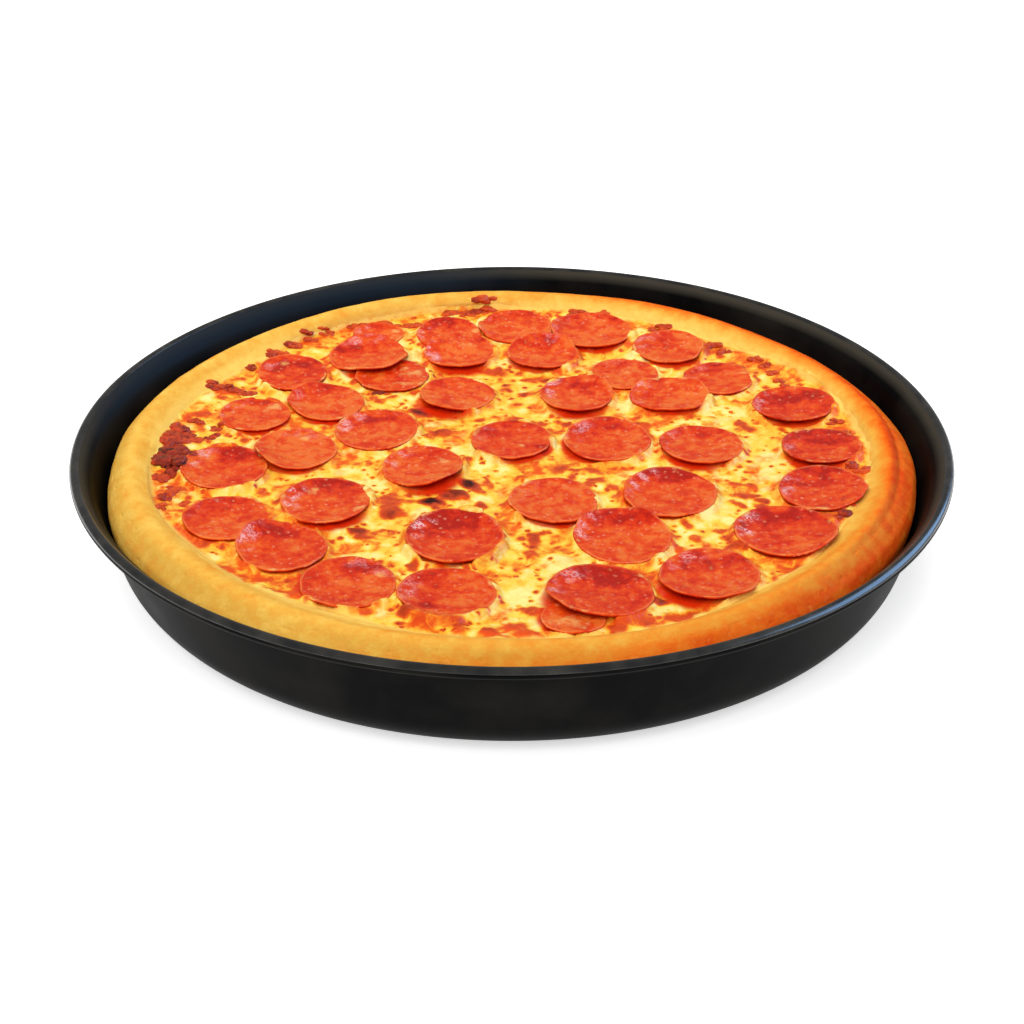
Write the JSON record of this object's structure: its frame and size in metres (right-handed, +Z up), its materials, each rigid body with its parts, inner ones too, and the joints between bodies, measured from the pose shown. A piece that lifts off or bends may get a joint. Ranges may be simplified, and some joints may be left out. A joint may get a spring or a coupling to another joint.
{
  "type": "pan pizza",
  "caption": "Whole deep-dish pepperoni pizza in its own round black pan with a rolled rim, uncut.",
  "frame": {"origin": "middle of the pan's flat bottom, on the surface it stands on", "axes": "+Z up through the middle of the pizza, -Y towards the front edge in the picture, +X to the right"},
  "size_m": [0.37, 0.37, 0.051],
  "materials": {
    "pan": "black hard-anodised aluminium sheet, satin, slightly worn on the bead",
    "crust": "baked bread crust, golden on top and darker orange-brown down its side, matt with a little oil",
    "cheese": "melted mozzarella, pale cream to yellow with browned and charred spots, oily",
    "pepperoni": "baked cured sausage slices, orange-red, oily, with pale flecks of fat"
  },
  "bodies": {
    "root": {"pan": "pan", "crust": "crust", "cheese": "cheese", "pepperoni_01": "pepperoni", "pepperoni_02": "pepperoni", "pepperoni_03": "pepperoni", "pepperoni_04": "pepperoni", "pepperoni_05": "pepperoni", "pepperoni_06": "pepperoni", "pepperoni_07": "pepperoni", "pepperoni_08": "pepperoni", "pepperoni_09": "pepperoni", "pepperoni_10": "pepperoni", "pepperoni_11": "pepperoni", "pepperoni_12": "pepperoni", "pepperoni_13": "pepperoni", "pepperoni_14": "pepperoni", "pepperoni_15": "pepperoni", "pepperoni_16": "pepperoni", "pepperoni_17": "pepperoni", "pepperoni_18": "pepperoni", "pepperoni_19": "pepperoni", "pepperoni_20": "pepperoni", "pepperoni_21": "pepperoni", "pepperoni_22": "pepperoni", "pepperoni_23": "pepperoni", "pepperoni_24": "pepperoni", "pepperoni_25": "pepperoni", "pepperoni_26": "pepperoni", "pepperoni_27": "pepperoni", "pepperoni_28": "pepperoni", "pepperoni_29": "pepperoni", "pepperoni_30": "pepperoni", "pepperoni_31": "pepperoni", "pepperoni_32": "pepperoni", "pepperoni_33": "pepperoni", "pepperoni_34": "pepperoni", "pepperoni_35": "pepperoni", "pepperoni_36": "pepperoni", "pepperoni_37": "pepperoni", "pepperoni_38": "pepperoni", "pepperoni_39": "pepperoni", "pepperoni_40": "pepperoni"}
  },
  "joints": []
}
